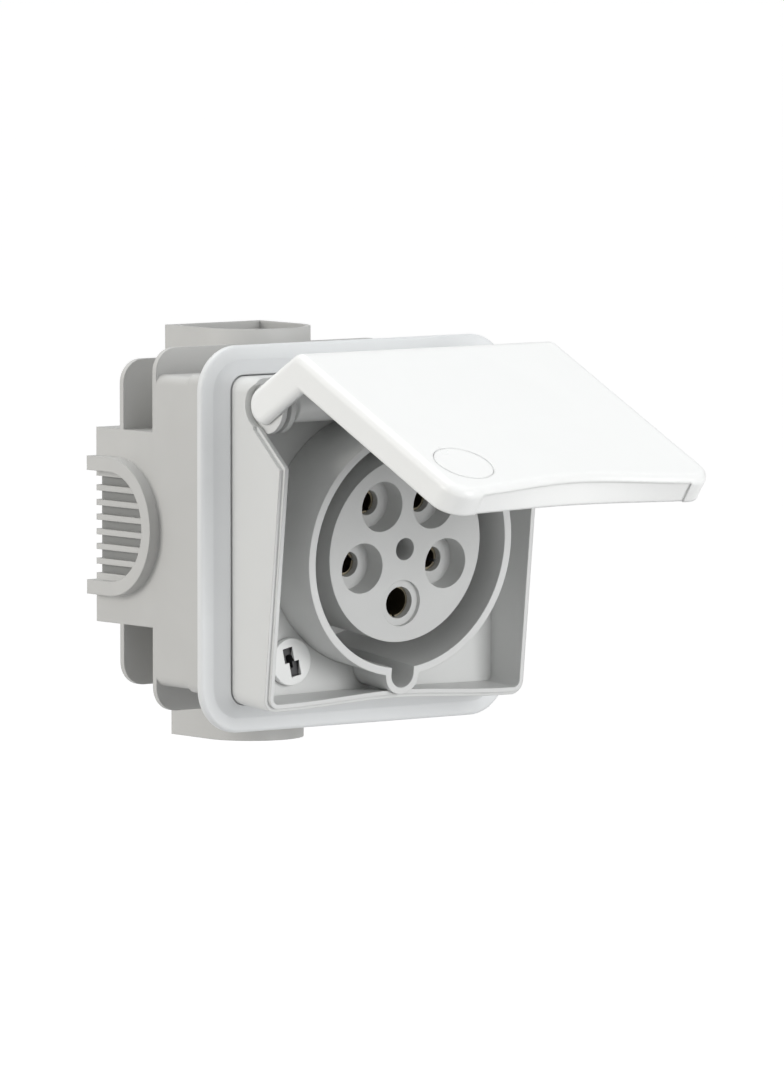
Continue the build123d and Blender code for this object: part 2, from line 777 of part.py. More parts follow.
def lock_screw(centre):
    """Quarter-turn lock: flat head with a stepped slot, shaft, and the wing that grips the box's plate."""
    head_rear = -(floor_front + run_gap)
    wing_front = lock_plate_y + lock_plate_thick + run_gap
    with BuildPart() as lock:
        with BuildSketch(at_depth(head_rear)):
            with Locations(centre):
                Circle(lock_head / 2)
        extrude(amount=lock_head_thick)
        fillet(lock.edges().sort_by(Axis.Y)[0], lock_round)
        with BuildSketch(at_depth(head_rear)):
            with Locations(centre):
                Circle(lock_shaft / 2)
        extrude(amount=head_rear - wing_front)
        with BuildSketch(at_depth(wing_front)):
            with Locations(centre):
                Circle(lock_shaft / 2)
                Rectangle(lock_wing, lock_wing_width)
        extrude(amount=-lock_wing_thick)
        with BuildSketch(at_depth(head_rear - lock_head_thick)):
            with Locations(Location(centre, lock_slot_turn)):
                with Locations((-lock_slot_step / 2, lock_slot_length / 4)):
                    Rectangle(lock_slot, lock_slot_length / 2)
                with Locations((lock_slot_step / 2, -lock_slot_length / 4)):
                    Rectangle(lock_slot, lock_slot_length / 2)
        extrude(amount=-lock_slot_depth, mode=Mode.SUBTRACT)
        with BuildSketch(at_depth(head_rear - lock_head_thick)):
            with Locations(centre):
                Circle(lock_socket / 2)
            with Locations(Location(centre, lock_slot_turn)):
                Rectangle(lock_slot - lock_slot_step, lock_slot_length, mode=Mode.INTERSECT)
        extrude(amount=-lock_socket_depth, mode=Mode.SUBTRACT)
    return lock.part


for name, centre in lock_places.items():
    lock = lock_screw(centre)
    lock.label = name
    export_step(lock, f"parts/{name}.step")

# Lid: one-piece moulding, long face and short leg to the hinge, with skirts, arms and hinge barrels
arm_side = housing_width / 2 - arm_thick
face_inner = lid_top - lid_shell
leg_inner = leg_shell - arm_radius
notch_along = ear_radius + 2 * slide_gap
front_limit = lid_length + 3 * lid_overhang


def wavy_front(height, length, wave):
    """Area ahead of the lid at this height: its edge draws back in a wave at the middle."""
    half_width = housing_width / 2 + lid_corner
    with BuildSketch(lid_level(height)) as area:
        with BuildLine():
            Polyline(
                (-half_width, -length),
                (-half_width, -length - 4 * lid_corner),
                (half_width, -length - 4 * lid_corner),
                (half_width, -length),
            )
            Spline(
                (half_width, -length),
                (0, wave - length),
                (-half_width, -length),
                tangents=((-1, 0), (-1, 0)),
            )
        make_face()
    return area.sketch


low_front = wavy_front(lid_low, lid_length, lid_grip_wave)
high_front = wavy_front(lid_top, lid_length + lid_overhang, lid_wave)
apron_top = lid_top - apron_margin
apron_share = (apron_top - lid_low) / lid_band
apron_length = lid_length + lid_overhang * apron_share - apron_depth
apron_wave = lid_grip_wave + (lid_wave - lid_grip_wave) * apron_share
apron_low = wavy_front(lid_low, lid_length - apron_depth, lid_grip_wave)
apron_high = wavy_front(apron_top, apron_length, apron_wave)
with BuildPart() as apron_cut:
    loft(apron_low.faces() + apron_high.faces())
    with BuildSketch(lid_level(lid_low - lid_band)):
        with Locations(((apron_left - apron_right) / 2, -lid_length)):
            Rectangle(housing_width - apron_left - apron_right, 4 * lid_corner)
    extrude(amount=2 * lid_band, mode=Mode.INTERSECT)
hollow_front = lid_shell - lid_length
hollow_plan = wavy_panel(lid_level(0), arm_side, reach, hollow_front, lid_corner - lid_shell, lid_hollow_wave)
with BuildPart() as lid_hollow:
    extrude(hollow_plan, amount=reach, both=True)
    with BuildSketch(open_side):
        with BuildLine():
            Polyline(
                hinge_arm(leg_inner, -2 * arm_radius),
                leg_at_height(leg_inner, face_inner),
                (front_limit, face_inner),
                (front_limit, lid_low - run_gap),
                (arm_radius, -2 * arm_radius),
                close=True,
            )
        make_face()
    extrude(amount=arm_side, both=True, mode=Mode.INTERSECT)
with BuildPart() as lid:
    with BuildSketch(open_side):
        with BuildLine():
            Polyline(
                hinge_arm(-arm_radius, 0),
                leg_at_height(-arm_radius, lid_top),
                (front_limit, lid_top),
                (front_limit, lid_low),
                leg_at_height(arm_radius, lid_low),
                hinge_arm(arm_radius, 0),
                close=True,
            )
        make_face()
        Circle(arm_radius)
    extrude(amount=housing_width / 2, both=True)
    loft(low_front.faces() + high_front.faces(), mode=Mode.SUBTRACT)
    front_corners = lid.edges().filter_by(
        lambda edge: edge.length < 2 * lid_band and edge.center().Y < -lid_length
    )
    fillet(front_corners, lid_corner)
    face_level = Plane(origin=(0, 0, 0), z_dir=open_side.y_dir)
    lid_face = lid.faces().filter_by(face_level).sort_by(SortBy.AREA)[-1]
    fillet(lid_face.edges().sort_by(Axis(open_side.origin, open_side.x_dir))[0], lid_back_round)
    lid_face = lid.faces().filter_by(face_level).sort_by(SortBy.AREA)[-1]
    fillet(lid_face.edges(), lid_edge_round)
    add(apron_cut.part, mode=Mode.SUBTRACT)
    add(lid_hollow.part, mode=Mode.SUBTRACT)
    for side in (-1, 1):
        with BuildSketch(hinge_slice(side * barrel_opening / 2)):
            Circle(barrel_radius)
        extrude(amount=side * (barrel_end_x - barrel_opening / 2))
        with BuildSketch(open_side.offset(side * barrel_end_x)):
            with BuildLine():
                Polyline(
                    hinge_arm(-2 * arm_radius, -2 * arm_radius),
                    hinge_arm(-2 * arm_radius, notch_along),
                    hinge_arm(2 * arm_radius, notch_along),
                    hinge_arm(2 * arm_radius, -2 * arm_radius),
                    close=True,
                )
            make_face()
        extrude(amount=side * (arm_side - barrel_end_x), mode=Mode.SUBTRACT)
    with BuildSketch(hinge_slice(-arm_side)):
        Circle(pin_diameter / 2 + barrel_bore_play)
    extrude(amount=2 * arm_side, mode=Mode.SUBTRACT)
    with BuildSketch(lid_level(lid_top)):
        with Locations((marker_x, -marker_u)):
            Circle(marker_diameter / 2 + fit_gap)
    extrude(amount=-marker_thick, mode=Mode.SUBTRACT)
lid.part.label = "lid"
export_step(lid.part, "parts/lid.step")

# Lid marker: blank round inlay pressed into the lid's face
with BuildPart() as lid_marker:
    with BuildSketch(lid_level(lid_top - marker_thick)):
        with Locations((marker_x, -marker_u)):
            Circle(marker_diameter / 2)
    extrude(amount=marker_thick)
lid_marker.part.label = "lid_marker"
export_step(lid_marker.part, "parts/lid_marker.step")

# Lid seal: rubber ring under the lid that closes on the rim of the sleeve and its keyway
rim_in_lid = closed_side.to_local_coords(rim_plane.origin)
seal_lap = (seal_width - sleeve_wall) / 2
seal_plane = Plane(
    origin=open_side.from_local_coords((rim_in_lid.X, rim_in_lid.Y + run_gap, 0)),
    x_dir=(1, 0, 0),
    z_dir=open_side.y_dir,
)
seal_height = face_inner - rim_in_lid.Y - run_gap
with BuildPart() as lid_seal:
    extrude(sleeve_outline(seal_plane, sleeve_outer + seal_lap, key_width / 2 + key_wall), amount=seal_height)
    extrude(
        sleeve_outline(seal_plane, sleeve_bore / 2 - seal_lap, key_width / 2 - seal_lap),
        amount=seal_height,
        mode=Mode.SUBTRACT,
    )
    with BuildSketch(open_side):
        with BuildLine():
            Polyline(
                hinge_arm(leg_inner + fit_gap, -reach),
                hinge_arm(leg_inner + fit_gap, reach),
                hinge_arm(-reach, reach),
                hinge_arm(-reach, -reach),
                close=True,
            )
        make_face()
    extrude(amount=housing_width / 2, both=True, mode=Mode.SUBTRACT)
lid_seal.part.label = "lid_seal"
export_step(lid_seal.part, "parts/lid_seal.step")

# Back box: one moulding with a front body, a slimmer rear core, two flanges and four cable entries
collar_face = box_width / 2
with BuildPart() as back_box:
    with BuildSketch(at_depth(0)):
        RectangleRounded(box_width, box_height, box_corner)
    extrude(amount=-box_step)
    with BuildSketch(at_depth(0)):
        RectangleRounded(box_width, box_height + 2 * box_lip, box_corner)
    extrude(amount=-box_lip_y)
    with BuildSketch(at_depth(box_step - box_wall)):
        Rectangle(box_width, rear_height)
    extrude(amount=box_step - box_wall - box_depth)
    with BuildSketch(at_depth(box_step)):
        RectangleRounded(box_width, flange_front_height, flange_corner)
    extrude(amount=-flange_thick)
    with BuildSketch(at_depth(flange_rear_y)):
        with Locations((0, flange_rear_shift)):
            RectangleRounded(box_width, flange_rear_height, flange_corner)
    extrude(amount=-flange_thick)
    extrude(tube_outline(Plane.XY, tube_top_radius), amount=tube_top_z)
    extrude(tube_outline(Plane.XY, tube_bottom_radius), amount=tube_bottom_z)
    for side in (-1, 1):
        extrude(collar_outline(side_slice(side * collar_face), collar_radius), amount=side * collar_height)
        extrude(
            collar_outline(side_slice(side * collar_face), collar_radius - collar_rim),
            amount=side * collar_height,
            mode=Mode.SUBTRACT,
        )
    with BuildSketch(at_depth(0)):
        Rectangle(box_inner_x, box_inner_z)
    extrude(amount=box_wall - box_step, mode=Mode.SUBTRACT)
    with BuildSketch(at_depth(0)):
        Rectangle(box_inner_x, rear_height - 2 * box_wall)
    extrude(amount=box_wall - box_depth, mode=Mode.SUBTRACT)
    with BuildSketch(Plane.XY):
        with Locations((0, tube_centre_y)):
            Circle(tube_top_radius - tube_wall)
        with Locations((0, (tube_centre_y + box_depth - box_wall) / 2)):
            Rectangle(2 * (tube_top_radius - tube_wall), box_depth - box_wall - tube_centre_y)
    extrude(amount=tube_top_z, mode=Mode.SUBTRACT)
    with BuildSketch(Plane.XY):
        with Locations((0, tube_centre_y)):
            Circle(tube_bottom_radius - tube_wall)
        with Locations((0, (tube_centre_y + box_depth - box_wall) / 2)):
            Rectangle(2 * (tube_bottom_radius - tube_wall), box_depth - box_wall - tube_centre_y)
    extrude(amount=tube_bottom_z, mode=Mode.SUBTRACT)
    for side in (-1, 1):
        with BuildSketch(side_slice(side * collar_face)):
            with Locations((collar_centre_y, 0)):
                Circle(collar_radius - collar_rim)
            with Locations((box_depth, 0)):
                Rectangle(2 * (box_depth - collar_centre_y), 2 * (collar_radius - collar_rim))
            with Locations((collar_centre_y, 0)):
                Rectangle(4 * collar_radius, slot_pitch * slot_count - slot_bar, mode=Mode.INTERSECT)
                with GridLocations(0, slot_pitch, 1, slot_count - 1):
                    Rectangle(4 * collar_radius, slot_bar, mode=Mode.SUBTRACT)
        extrude(amount=-side * (box_wall + slot_corner), mode=Mode.SUBTRACT)
    for centre in lock_places.values():
        side_x = box_inner_x / 2 if centre[0] > 0 else -box_inner_x / 2
        near_x = centre[0] - (lock_shaft if centre[0] > 0 else -lock_shaft)
        top_z = centre[1] + lock_bracket / 2
        bottom_z = max(centre[1] - lock_bracket / 2, -box_inner_z / 2)
        with BuildSketch(at_depth(lock_plate_y)):
            with Locations(((side_x + near_x) / 2, (top_z + bottom_z) / 2)):
                Rectangle(abs(side_x - near_x), top_z - bottom_z)
            with Locations(centre):
                Circle(lock_shaft / 2 + run_gap, mode=Mode.SUBTRACT)
                Rectangle(
                    lock_wing_width + 2 * run_gap, lock_wing + 2 * run_gap, mode=Mode.SUBTRACT
                )
        extrude(amount=-lock_plate_thick)
    well_room = sleeve_outer + 2 * slide_gap
    extrude(sleeve_outline(rim_plane, well_room, key_width / 2), amount=-block_front, mode=Mode.SUBTRACT)
back_box.part.label = "back_box"
export_step(back_box.part, "parts/back_box.step")
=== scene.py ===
from math import cos, radians, sin

import bmesh
import bpy
from mathutils import Matrix, Vector


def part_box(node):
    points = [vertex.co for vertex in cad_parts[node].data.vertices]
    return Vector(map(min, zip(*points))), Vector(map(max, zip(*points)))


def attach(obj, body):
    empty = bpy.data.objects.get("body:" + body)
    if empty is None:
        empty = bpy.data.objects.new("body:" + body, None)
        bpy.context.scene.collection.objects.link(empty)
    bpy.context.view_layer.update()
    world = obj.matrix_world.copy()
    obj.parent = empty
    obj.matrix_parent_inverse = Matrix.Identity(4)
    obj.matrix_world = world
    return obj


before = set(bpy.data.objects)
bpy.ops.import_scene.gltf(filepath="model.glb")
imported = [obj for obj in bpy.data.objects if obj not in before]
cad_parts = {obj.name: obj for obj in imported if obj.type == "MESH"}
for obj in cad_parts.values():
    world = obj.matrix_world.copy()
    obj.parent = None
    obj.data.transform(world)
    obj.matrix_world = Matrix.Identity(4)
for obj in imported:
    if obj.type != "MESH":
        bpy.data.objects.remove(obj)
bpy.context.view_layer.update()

# Back box: the flush moulding that is plastered or screwed into the wall's recess, in light grey
# plastic with a fine eroded skin. It is one shot, so its tubes, flanges and slotted side entries
# share one material.

# Sockets of a mix node that mixes colours: how much of the second, the two colours, the outcome.
mix_share = 0
mix_first = 6
mix_second = 7
mix_outcome = 2


def printed_colour(red, green, blue):
    """Linear colour of a plastic that was matched on a 0 to 255 chart."""

    def channel(level):
        share = level / 255
        return share / 12.92 if share <= 0.04045 else ((share + 0.055) / 1.055) ** 2.4

    return (channel(red), channel(green), channel(blue), 1)


def toned(colour, share):
    """The same colour, lighter or darker by this share, and never past white."""
    return tuple(min(1, part * share) for part in colour[:3]) + (1,)


def new_group(name, inputs, outputs):
    """Empty shader group with these named sockets, its input node and its output node."""
    group = bpy.data.node_groups.new(name, "ShaderNodeTree")
    for label, kind, value in inputs:
        socket = group.interface.new_socket(label, in_out="INPUT", socket_type="NodeSocket" + kind)
        socket.default_value = value
    for label, kind in outputs:
        group.interface.new_socket(label, in_out="OUTPUT", socket_type="NodeSocket" + kind)
    return group, group.nodes.new("NodeGroupInput"), group.nodes.new("NodeGroupOutput")


def new_material(name):
    """Material with a plain Principled shader, its nodes, its links and that shader."""
    material = bpy.data.materials.new(name)
    material.use_nodes = True
    nodes, links = material.node_tree.nodes, material.node_tree.links
    return material, nodes, links, nodes["Principled BSDF"]


def eroded_skin_group():
    """Spark-eroded tool surface: a fine grain, a faint flow of the melt and a wandering gloss."""
    group, given, result = new_group(
        "eroded skin",
        (
            ("Plastic", "Color", (0.8, 0.8, 0.8, 1)),
            ("Flow", "Float", 0.03),
            ("Grain Size", "Float", 0.0004),
            ("Gloss Roughness", "Float", 0.4),
        ),
        (("Colour", "Color"), ("Roughness", "Float"), ("Grain", "Float")),
    )
    nodes, links = group.nodes, group.links
    flow_patches_per_metre = 38
    flow_twist = 0.8
    flow_faint = 0.3
    flow_full = 0.7
    gloss_wander = 0.06
    place = nodes.new("ShaderNodeTexCoord")
    density = nodes.new("ShaderNodeMath")
    density.operation = "DIVIDE"
    density.inputs[0].default_value = 1
    links.new(given.outputs["Grain Size"], density.inputs[1])
    grain = nodes.new("ShaderNodeTexNoise")
    grain.inputs["Detail"].default_value = 1
    links.new(place.outputs["Object"], grain.inputs["Vector"])
    links.new(density.outputs[0], grain.inputs["Scale"])
    flow = nodes.new("ShaderNodeTexNoise")
    flow.inputs["Scale"].default_value = flow_patches_per_metre
    flow.inputs["Detail"].default_value = 3
    flow.inputs["Distortion"].default_value = flow_twist
    links.new(place.outputs["Object"], flow.inputs["Vector"])
    swing = nodes.new("ShaderNodeMapRange")
    swing.inputs["From Min"].default_value = flow_faint
    swing.inputs["From Max"].default_value = flow_full
    links.new(flow.outputs["Fac"], swing.inputs["Value"])
    darker = nodes.new("ShaderNodeMath")
    darker.operation = "MULTIPLY"
    links.new(swing.outputs["Result"], darker.inputs[0])
    links.new(given.outputs["Flow"], darker.inputs[1])
    shade = nodes.new("ShaderNodeMix")
    shade.data_type = "RGBA"
    shade.blend_type = "MULTIPLY"
    shade.inputs[mix_second].default_value = (0, 0, 0, 1)
    links.new(darker.outputs[0], shade.inputs[mix_share])
    links.new(given.outputs["Plastic"], shade.inputs[mix_first])
    links.new(shade.outputs[mix_outcome], result.inputs["Colour"])
    wander = nodes.new("ShaderNodeMapRange")
    wander.inputs["To Min"].default_value = -gloss_wander
    wander.inputs["To Max"].default_value = gloss_wander
    links.new(flow.outputs["Fac"], wander.inputs["Value"])
    gloss = nodes.new("ShaderNodeMath")
    links.new(wander.outputs["Result"], gloss.inputs[0])
    links.new(given.outputs["Gloss Roughness"], gloss.inputs[1])
    links.new(gloss.outputs[0], result.inputs["Roughness"])
    links.new(grain.outputs["Fac"], result.inputs["Grain"])
    return group


def soft_edge_group():
    """Rounds a sharp moulded edge in the light, and masks it for a painted highlight."""
    group, given, result = new_group(
        "soft edge", (("Radius", "Float", 0.0003),), (("Normal", "Vector"), ("Edge", "Float"))
    )
    nodes, links = group.nodes, group.links
    edge_starts = 0.995
    edge_is_full = 0.80
    rounding = nodes.new("ShaderNodeBevel")
    rounding.samples = 6
    links.new(given.outputs["Radius"], rounding.inputs["Radius"])
    surface = nodes.new("ShaderNodeNewGeometry")
    agree = nodes.new("ShaderNodeVectorMath")
    agree.operation = "DOT_PRODUCT"
    links.new(rounding.outputs["Normal"], agree.inputs[0])
    links.new(surface.outputs["Normal"], agree.inputs[1])
    mask = nodes.new("ShaderNodeMapRange")
    mask.inputs["From Min"].default_value = edge_starts
    mask.inputs["From Max"].default_value = edge_is_full
    links.new(agree.outputs["Value"], mask.inputs["Value"])
    links.new(rounding.outputs["Normal"], result.inputs["Normal"])
    links.new(mask.outputs["Result"], result.inputs["Edge"])
    return group


eroded_skin = eroded_skin_group()
soft_edge = soft_edge_group()
# Painted highlight: sharp edges take a colour this much lighter than the plastic's own.
edge_painted_highlight = 1.06


def moulded_plastic(name, colour, roughness, flow=0.03, grain=0.00045, depth=0.000006, edge=0.0003):
    """Material of a moulding: own colour, tool grain as bump, soft edges with a painted highlight.
    """
    material, nodes, links, shader = new_material(name)
    shader.inputs["IOR"].default_value = 1.5
    skin = nodes.new("ShaderNodeGroup")
    skin.node_tree = eroded_skin
    skin.inputs["Plastic"].default_value = colour
    skin.inputs["Flow"].default_value = flow
    skin.inputs["Grain Size"].default_value = grain
    skin.inputs["Gloss Roughness"].default_value = roughness
    rim = nodes.new("ShaderNodeGroup")
    rim.node_tree = soft_edge
    rim.inputs["Radius"].default_value = edge
    # The edge mask mixes the painted highlight into the plastic's colour.
    edge_highlight = nodes.new("ShaderNodeMix")
    edge_highlight.data_type = "RGBA"
    edge_highlight.inputs[mix_second].default_value = toned(colour, edge_painted_highlight)
    links.new(rim.outputs["Edge"], edge_highlight.inputs[mix_share])
    links.new(skin.outputs["Colour"], edge_highlight.inputs[mix_first])
    links.new(edge_highlight.outputs[mix_outcome], shader.inputs["Base Color"])
    links.new(skin.outputs["Roughness"], shader.inputs["Roughness"])
    bump = nodes.new("ShaderNodeBump")
    bump.inputs["Distance"].default_value = depth
    links.new(skin.outputs["Grain"], bump.inputs["Height"])
    links.new(rim.outputs["Normal"], bump.inputs["Normal"])
    links.new(bump.outputs["Normal"], shader.inputs["Normal"])
    return material


def dress(node, material):
    """Gives a whole node of the frame one finish."""
    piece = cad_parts[node]
    piece.data.materials.clear()
    piece.data.materials.append(material)
    piece.data.polygons.foreach_set("material_index", [0] * len(piece.data.polygons))
    return piece


box_grey = moulded_plastic(
    "box grey plastic", printed_colour(199, 199, 197), roughness=0.45, flow=0.05, edge=0.0005
)
dress("back_box", box_grey)

# Entry webs: the thin knock-out skin behind the slats of each side entry, which a fitter breaks
# out for a cable. It is moulded with the box, round towards the room and open to the rear.
web_face_x = 0.03485
web_thick = 0.0011
web_radius = 0.0143
web_centre_y = 0.0487
web_rear_y = 0.0579
web_steps = 32
# Painted shade: the webs' grey is darker than the box's plastic, for the shade in the recess behind
# the slats.
web_painted_shade = moulded_plastic(
    "entry web plastic in painted shade", printed_colour(142, 143, 142), roughness=0.55, flow=0.05
)


def entry_web(name, side):
    """Half-round plate behind the slats on this side of the box."""
    outline = [(web_rear_y, -web_radius)]
    for step in range(web_steps + 1):
        angle = radians(-90 - 180 * step / web_steps)
        outline.append((web_centre_y + web_radius * cos(angle), web_radius * sin(angle)))
    outline.append((web_rear_y, web_radius))
    shape = bmesh.new()
    corners = [shape.verts.new((side * web_face_x, y, z)) for y, z in outline]
    plate = shape.faces.new(corners)
    pushed = bmesh.ops.extrude_face_region(shape, geom=[plate])
    moved = [part for part in pushed["geom"] if isinstance(part, bmesh.types.BMVert)]
    bmesh.ops.translate(shape, verts=moved, vec=(-side * web_thick, 0, 0))
    bmesh.ops.recalc_face_normals(shape, faces=shape.faces)
    mesh = bpy.data.meshes.new(name)
    shape.to_mesh(mesh)
    shape.free()
    web = bpy.data.objects.new(name, mesh)
    bpy.context.scene.collection.objects.link(web)
    mesh.materials.append(web_painted_shade)
    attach(web, "socket")


entry_web("entry_web_left", -1)
entry_web("entry_web_right", 1)

# Wall seal: closed-cell foam ring glued into the groove behind the cover frame. It evens out the
# wall, and its cut skin is dull with fine pores.


def cut_cells_group():
    """Cut skin of foam or rubber: cells that are darker and lower in their middle."""
    group, given, result = new_group(
        "cut cells",
        (
            ("Rubber", "Color", (0.05, 0.05, 0.05, 1)),
            ("Cell Shade", "Color", (0.04, 0.04, 0.04, 1)),
            ("Cells per Metre", "Float", 2000),
        ),
        (("Colour", "Color"), ("Height", "Float")),
    )
    nodes, links = group.nodes, group.links
    place = nodes.new("ShaderNodeTexCoord")
    cells = nodes.new("ShaderNodeTexVoronoi")
    links.new(place.outputs["Object"], cells.inputs["Vector"])
    links.new(given.outputs["Cells per Metre"], cells.inputs["Scale"])
    tint = nodes.new("ShaderNodeMix")
    tint.data_type = "RGBA"
    links.new(cells.outputs["Distance"], tint.inputs[mix_share])
    links.new(given.outputs["Cell Shade"], tint.inputs[mix_first])
    links.new(given.outputs["Rubber"], tint.inputs[mix_second])
    links.new(tint.outputs[mix_outcome], result.inputs["Colour"])
    links.new(cells.outputs["Distance"], result.inputs["Height"])
    return group


cut_cells = cut_cells_group()
cell_shade = 0.75


def pored_rubber(name, colour, roughness, pore, depth):
    """Rubber or foam with cells of this size."""
    material, nodes, links, shader = new_material(name)
    shader.inputs["Roughness"].default_value = roughness
    skin = nodes.new("ShaderNodeGroup")
    skin.node_tree = cut_cells
    skin.inputs["Rubber"].default_value = colour
    skin.inputs["Cell Shade"].default_value = toned(colour, cell_shade)
    skin.inputs["Cells per Metre"].default_value = 1 / pore
    links.new(skin.outputs["Colour"], shader.inputs["Base Color"])
    bump = nodes.new("ShaderNodeBump")
    bump.inputs["Distance"].default_value = depth
    links.new(skin.outputs["Height"], bump.inputs["Height"])
    links.new(bump.outputs["Normal"], shader.inputs["Normal"])
    return material


wall_foam = pored_rubber(
    "wall foam", printed_colour(74, 75, 76), roughness=0.85, pore=0.0005, depth=0.0002
)
dress("wall_seal", wall_foam)

# Cover frame: square ring in a cooler light grey that hides the edge of the wall's opening. It is
# moulded with a thin edge and a slope up to the housing, and clamped by the locks.
frame_grey = moulded_plastic(
    "frame grey plastic", printed_colour(226, 228, 229), roughness=0.42, edge=0.0005
)
dress("cover_frame", frame_grey)

# Housing seal: flat rubber gasket between the frame's seat and the foot of the surround, pressed
# thin by the two locks.
seal_rubber = pored_rubber(
    "seal rubber", printed_colour(58, 59, 60), roughness=0.6, pore=0.0004, depth=0.00004
)
dress("housing_seal", seal_rubber)

# Socket housing: the surround with its floor and hinge ears in one light grey moulding. Its rim is
# stepped, so that the lid's skirt laps over it.
housing_grey = moulded_plastic(
    "housing grey plastic", printed_colour(219, 220, 219), roughness=0.38, edge=0.0004
)
dress("socket_housing", housing_grey)

# Plug sleeve: the tilted keyed tube that guides the plug, moulded in the housing's plastic and
# set into the round hole in its floor.
dress("plug_sleeve", housing_grey)

# Contact carrier: the round insert of a harder, darker grey thermoset that holds the contacts. It
# goes in from behind, and two small plates of the same stuff are screwed on to grip its groove.
insert_grey = moulded_plastic(
    "insert grey plastic", printed_colour(206, 207, 206), roughness=0.5, flow=0.05
)
dress("contact_carrier", insert_grey)
dress("carrier_clamps", insert_grey)

# Terminal block: the rear half of the insert, of the same thermoset, with the five terminals let
# into it from the front.
dress("terminal_block", insert_grey)

# Contacts: five sleeves turned from brass rod, slotted at the front so that they grip the pins.
# The cutter left fine rings across their axis, which is tilted with the sleeve.
contact_tilt = 6.25


def lathe_rings_group():
    """Marks of a lathe tool: fine rings across the tilted axis in tone, gloss and height."""
    group, given, result = new_group(
        "lathe rings",
        (
            ("Metal", "Color", (0.6, 0.6, 0.6, 1)),
            ("Ring Shade", "Color", (0.5, 0.5, 0.5, 1)),
            ("Rings per Metre", "Float", 5000),
            ("Gloss Roughness", "Float", 0.3),
        ),
        (("Colour", "Color"), ("Roughness", "Float"), ("Height", "Float")),
    )
    nodes, links = group.nodes, group.links
    streaks_per_metre = 60
    gloss_wander = 0.08
    place = nodes.new("ShaderNodeTexCoord")
    spacing = nodes.new("ShaderNodeCombineXYZ")
    spacing.inputs["X"].default_value = streaks_per_metre
    spacing.inputs["Z"].default_value = streaks_per_metre
    links.new(given.outputs["Rings per Metre"], spacing.inputs["Y"])
    stretch = nodes.new("ShaderNodeMapping")
    stretch.inputs["Rotation"].default_value = (radians(-contact_tilt), 0, 0)
    links.new(place.outputs["Object"], stretch.inputs["Vector"])
    links.new(spacing.outputs["Vector"], stretch.inputs["Scale"])
    rings = nodes.new("ShaderNodeTexNoise")
    rings.inputs["Scale"].default_value = 1
    rings.inputs["Detail"].default_value = 2
    links.new(stretch.outputs["Vector"], rings.inputs["Vector"])
    tone = nodes.new("ShaderNodeMix")
    tone.data_type = "RGBA"
    links.new(rings.outputs["Fac"], tone.inputs[mix_share])
    links.new(given.outputs["Ring Shade"], tone.inputs[mix_first])
    links.new(given.outputs["Metal"], tone.inputs[mix_second])
    links.new(tone.outputs[mix_outcome], result.inputs["Colour"])
    wander = nodes.new("ShaderNodeMapRange")
    wander.inputs["To Min"].default_value = -gloss_wander
    wander.inputs["To Max"].default_value = gloss_wander
    links.new(rings.outputs["Fac"], wander.inputs["Value"])
    gloss = nodes.new("ShaderNodeMath")
    links.new(wander.outputs["Result"], gloss.inputs[0])
    links.new(given.outputs["Gloss Roughness"], gloss.inputs[1])
    links.new(gloss.outputs[0], result.inputs["Roughness"])
    links.new(rings.outputs["Fac"], result.inputs["Height"])
    return group


lathe_rings = lathe_rings_group()
ring_shade = 0.82


def turned_metal(name, colour, roughness, ring, depth):
    """Metal with the fine rings that a lathe tool leaves."""
    material, nodes, links, shader = new_material(name)
    shader.inputs["Metallic"].default_value = 1
    skin = nodes.new("ShaderNodeGroup")
    skin.node_tree = lathe_rings
    skin.inputs["Metal"].default_value = colour
    skin.inputs["Ring Shade"].default_value = toned(colour, ring_shade)
    skin.inputs["Rings per Metre"].default_value = 1 / ring
    skin.inputs["Gloss Roughness"].default_value = roughness
    links.new(skin.outputs["Colour"], shader.inputs["Base Color"])
    links.new(skin.outputs["Roughness"], shader.inputs["Roughness"])
    bump = nodes.new("ShaderNodeBump")
    bump.inputs["Distance"].default_value = depth
    links.new(skin.outputs["Height"], bump.inputs["Height"])
    links.new(bump.outputs["Normal"], shader.inputs["Normal"])
    return material


contact_brass = turned_metal(
    "turned brass", printed_colour(150, 142, 122), roughness=0.4, ring=0.0002, depth=0.00001
)
for pole in ("contact_earth", "contact_n", "contact_l3", "contact_l2", "contact_l1"):
    dress(pole, contact_brass)

# Contact springs: short split rings of spring steel, one round the slotted end of each contact.
# They close the slots, so that the contact grips its pin.
spring_steel = turned_metal(
    "drawn spring steel", printed_colour(178, 180, 184), roughness=0.34, ring=0.0003, depth=0.000006
)
dress("contact_springs", spring_steel)

# Screws: zinc-plated steel for the terminals, the centre of the insert and its two clamps. The
# plating is a little cloudy.
zinc_steel = turned_metal(
    "zinc-plated steel", printed_colour(196, 199, 204), roughness=0.3, ring=0.0005, depth=0.000004
)
dress("terminal_screws", zinc_steel)
dress("centre_screw", zinc_steel)
dress("carrier_screws", zinc_steel)

# Locks: two quarter-turn heads moulded in white plastic, with a rubber washer under each. A flat
# screwdriver in the stepped slot turns the wing behind the box's plate. The slot is deep, and its
# deep faces are painted dark as painted shade.
painted_shade_depth = 0.0006
slot_core_radius = 0.002
head_depth = 0.0018
slot_reach = 0.005
lock_white = moulded_plastic(
    "lock white plastic", printed_colour(240, 241, 240), roughness=0.3, flow=0.015, depth=0.000003
)
# Painted shade: a dark grey that stands for the shade deep in the lock slot.
slot_painted_shade = moulded_plastic("painted shade in the lock slot", printed_colour(62, 62, 64), roughness=0.5)
dress("lock_seals", seal_rubber)


